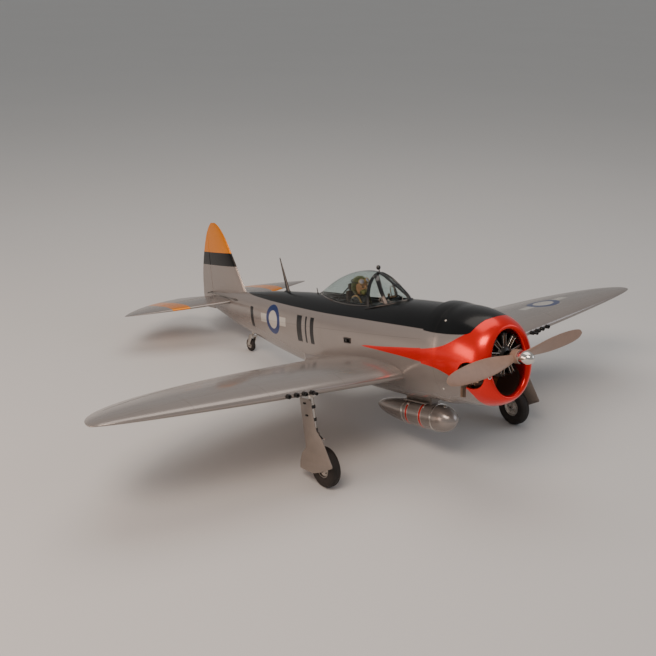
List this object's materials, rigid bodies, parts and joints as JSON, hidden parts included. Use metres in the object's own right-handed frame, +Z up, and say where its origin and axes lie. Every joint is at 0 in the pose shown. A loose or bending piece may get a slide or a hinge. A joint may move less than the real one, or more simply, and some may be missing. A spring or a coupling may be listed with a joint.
{
  "type": "rc warbird plane",
  "caption": "Radio-controlled low-wing warbird with retracting gear, working control surfaces, two-blade propeller, bubble canopy and belly drop tank, standing on its wheels.",
  "frame": {"origin": "middle of the footprint on the ground, below the middle of the overall box", "axes": "+Z up, +X towards the left wing tip, -Y towards the propeller; the aircraft stands nose-up on three wheels"},
  "size_m": [1.5984, 1.4218, 0.4155],
  "materials": {
    "silver_film": "satin silver covering film",
    "red_cowl": "gloss red paint",
    "clear_glazing": "clear moulded plastic",
    "black_plastic": "matt black",
    "dark_engine": "dark metal",
    "steel": "bright steel",
    "alloy": "polished alloy",
    "tyre_rubber": "matt rubber",
    "propeller_nylon": "satin brown-grey",
    "plywood": "lacquered plywood",
    "tank_plastic": "translucent white",
    "battery_wrap": "blue heat-shrink",
    "pilot_paint": "olive paint"
  },
  "bodies": {
    "airframe": {"antenna_mast": "black_plastic", "battery": "battery_wrap", "canopy": "clear_glazing", "cockpit_tub": "black_plastic", "cowl": "red_cowl", "drop_tank": "silver_film", "dummy_engine": "dark_engine", "elevator_servo": "black_plastic", "engine": "dark_engine", "equipment_tray": "plywood", "fin": "silver_film", "firewall": "plywood", "fuel_tank": "tank_plastic", "fuselage": "silver_film", "gun_barrels_left": "black_plastic", "gun_barrels_right": "black_plastic", "muffler": "dark_engine", "pilot": "pilot_paint", "receiver": "black_plastic", "rudder_servo": "black_plastic", "stabiliser_left": "silver_film", "stabiliser_right": "silver_film", "tank_pylon": "silver_film", "windscreen": "clear_glazing", "wing_joiner_tube": "alloy", "wing_left": "silver_film", "wing_right": "silver_film"},
    "propeller_group": {"propeller": "propeller_nylon", "crankshaft": "steel", "spinner_nut": "alloy"},
    "flap_left": {"flap_left": "silver_film"},
    "flap_pushrod_left": {"flap_pushrod_left": "steel"},
    "aileron_left": {"aileron_left": "silver_film"},
    "aileron_pushrod_left": {"aileron_pushrod_left": "steel"},
    "elevator_left": {"elevator_left": "silver_film"},
    "flap_right": {"flap_right": "silver_film"},
    "flap_pushrod_right": {"flap_pushrod_right": "steel"},
    "aileron_right": {"aileron_right": "silver_film"},
    "aileron_pushrod_right": {"aileron_pushrod_right": "steel"},
    "elevator_right": {"elevator_right": "silver_film"},
    "elevator_pushrod": {"elevator_pushrod": "steel"},
    "rudder_pushrod": {"rudder_pushrod": "steel"},
    "rudder": {"rudder": "silver_film"},
    "tail_leg": {"tail_leg": "alloy"},
    "tail_wheel": {"tail_wheel": "tyre_rubber"},
    "leg_left": {"strut_left": "alloy", "gear_door_left": "silver_film", "piston_left": "steel", "upper_link_left": "dark_engine", "lower_link_left": "dark_engine"},
    "wheel_left": {"tyre_left": "tyre_rubber", "hub_left": "alloy"},
    "leg_right": {"strut_right": "alloy", "gear_door_right": "silver_film", "piston_right": "steel", "upper_link_right": "dark_engine", "lower_link_right": "dark_engine"},
    "wheel_right": {"tyre_right": "tyre_rubber", "hub_right": "alloy"},
    "power_switch": {"power_switch": "black_plastic"}
  },
  "joints": [
    {"name": "propeller_spin", "type": "hinge", "parent": "airframe", "child": "propeller_group", "pos_m": [0, -0.6433, 0.3333], "axis": [0, 0.9787, -0.2052], "continuous": true},
    {"name": "flap_left_hinge", "type": "hinge", "parent": "airframe", "child": "flap_left", "pos_m": [0.115, -0.09406, 0.1508], "axis": [0.9934, -0.0691, 0.0918], "range_deg": [-40, 0]},
    {"name": "flap_pushrod_left_slide", "type": "slide", "parent": "airframe", "child": "flap_pushrod_left", "axis": [0.0846, 0.9048, -0.4174], "range_m": [-0.01855, 0.0004]},
    {"name": "aileron_left_hinge", "type": "hinge", "parent": "airframe", "child": "aileron_left", "pos_m": [0.44, -0.11834, 0.1812], "axis": [0.9329, -0.3323, 0.1389], "range_deg": [-22, 22]},
    {"name": "aileron_pushrod_left_slide", "type": "slide", "parent": "airframe", "child": "aileron_pushrod_left", "axis": [0.3456, 0.8464, -0.4051], "range_m": [-0.00885, 0.00885]},
    {"name": "elevator_left_hinge", "type": "hinge", "parent": "airframe", "child": "elevator_left", "pos_m": [0.0165, 0.60216, 0.10894], "axis": [1, 0, 0], "range_deg": [-25, 25]},
    {"name": "flap_right_hinge", "type": "hinge", "parent": "airframe", "child": "flap_right", "pos_m": [-0.115, -0.09406, 0.1508], "axis": [0.9934, 0.0691, -0.0918], "range_deg": [-40, 0]},
    {"name": "flap_pushrod_right_slide", "type": "slide", "parent": "airframe", "child": "flap_pushrod_right", "axis": [-0.0846, 0.9048, -0.4174], "range_m": [-0.01855, 0.0004]},
    {"name": "aileron_right_hinge", "type": "hinge", "parent": "airframe", "child": "aileron_right", "pos_m": [-0.44, -0.11834, 0.1812], "axis": [0.9329, 0.3323, -0.1389], "range_deg": [-22, 22]},
    {"name": "aileron_pushrod_right_slide", "type": "slide", "parent": "airframe", "child": "aileron_pushrod_right", "axis": [-0.3456, 0.8464, -0.4051], "range_m": [-0.00885, 0.00885]},
    {"name": "elevator_right_hinge", "type": "hinge", "parent": "airframe", "child": "elevator_right", "pos_m": [-0.0165, 0.60216, 0.10894], "axis": [1, 0, 0], "range_deg": [-25, 25]},
    {"name": "elevator_pushrod_slide", "type": "slide", "parent": "airframe", "child": "elevator_pushrod", "axis": [0.0094, 0.982, -0.1889], "range_m": [-0.01, 0.01]},
    {"name": "rudder_hinge", "type": "hinge", "parent": "airframe", "child": "rudder", "pos_m": [0, 0.6153, 0.17158], "axis": [0, 0.2052, 0.9787], "range_deg": [-25, 25]},
    {"name": "rudder_pushrod_slide", "type": "slide", "parent": "airframe", "child": "rudder_pushrod", "axis": [-0.006, 0.9921, -0.1252], "range_m": [-0.011, 0.011]},
    {"name": "tail_leg_steer", "type": "hinge", "parent": "airframe", "child": "tail_leg", "pos_m": [0, 0.38347, 0.06488], "axis": [0, 0.2052, 0.9787], "range_deg": [-25, 25]},
    {"name": "tail_wheel_spin", "type": "hinge", "parent": "tail_leg", "child": "tail_wheel", "pos_m": [0, 0.39746, 0.01954], "axis": [1, 0, 0], "continuous": true},
    {"name": "gear_left_retract", "type": "hinge", "parent": "airframe", "child": "leg_left", "pos_m": [0.3105, -0.35845, 0.21533], "axis": [0.1122, 0.946, -0.304], "range_deg": [0, 86.03]},
    {"name": "wheel_left_spin", "type": "hinge", "parent": "leg_left", "child": "wheel_left", "pos_m": [0.2925, -0.39385, 0.0465], "axis": [1, 0, 0], "continuous": true},
    {"name": "gear_right_retract", "type": "hinge", "parent": "airframe", "child": "leg_right", "pos_m": [-0.3105, -0.35845, 0.21533], "axis": [0.1122, -0.946, 0.304], "range_deg": [0, 86.03]},
    {"name": "wheel_right_spin", "type": "hinge", "parent": "leg_right", "child": "wheel_right", "pos_m": [-0.2925, -0.39385, 0.0465], "axis": [1, 0, 0], "continuous": true},
    {"name": "power_switch_slide", "type": "slide", "parent": "airframe", "child": "power_switch", "axis": [0, 0.9787, -0.2052], "range_m": [-0.003, 0.003]}
  ],
  "couplings": [
    {"joint": "flap_pushrod_left_slide", "follows": "flap_left_hinge", "m_per_rad": 0.026},
    {"joint": "aileron_pushrod_left_slide", "follows": "aileron_left_hinge", "m_per_rad": 0.022},
    {"joint": "flap_right_hinge", "follows": "flap_left_hinge", "ratio": 1},
    {"joint": "flap_pushrod_right_slide", "follows": "flap_left_hinge", "m_per_rad": 0.026},
    {"joint": "aileron_right_hinge", "follows": "aileron_left_hinge", "ratio": -1},
    {"joint": "aileron_pushrod_right_slide", "follows": "aileron_left_hinge", "m_per_rad": -0.022},
    {"joint": "elevator_right_hinge", "follows": "elevator_left_hinge", "ratio": 1},
    {"joint": "elevator_pushrod_slide", "follows": "elevator_left_hinge", "m_per_rad": 0.022},
    {"joint": "rudder_pushrod_slide", "follows": "rudder_hinge", "m_per_rad": -0.024},
    {"joint": "tail_leg_steer", "follows": "rudder_hinge", "ratio": 1},
    {"joint": "gear_right_retract", "follows": "gear_left_retract", "ratio": 1}
  ]
}
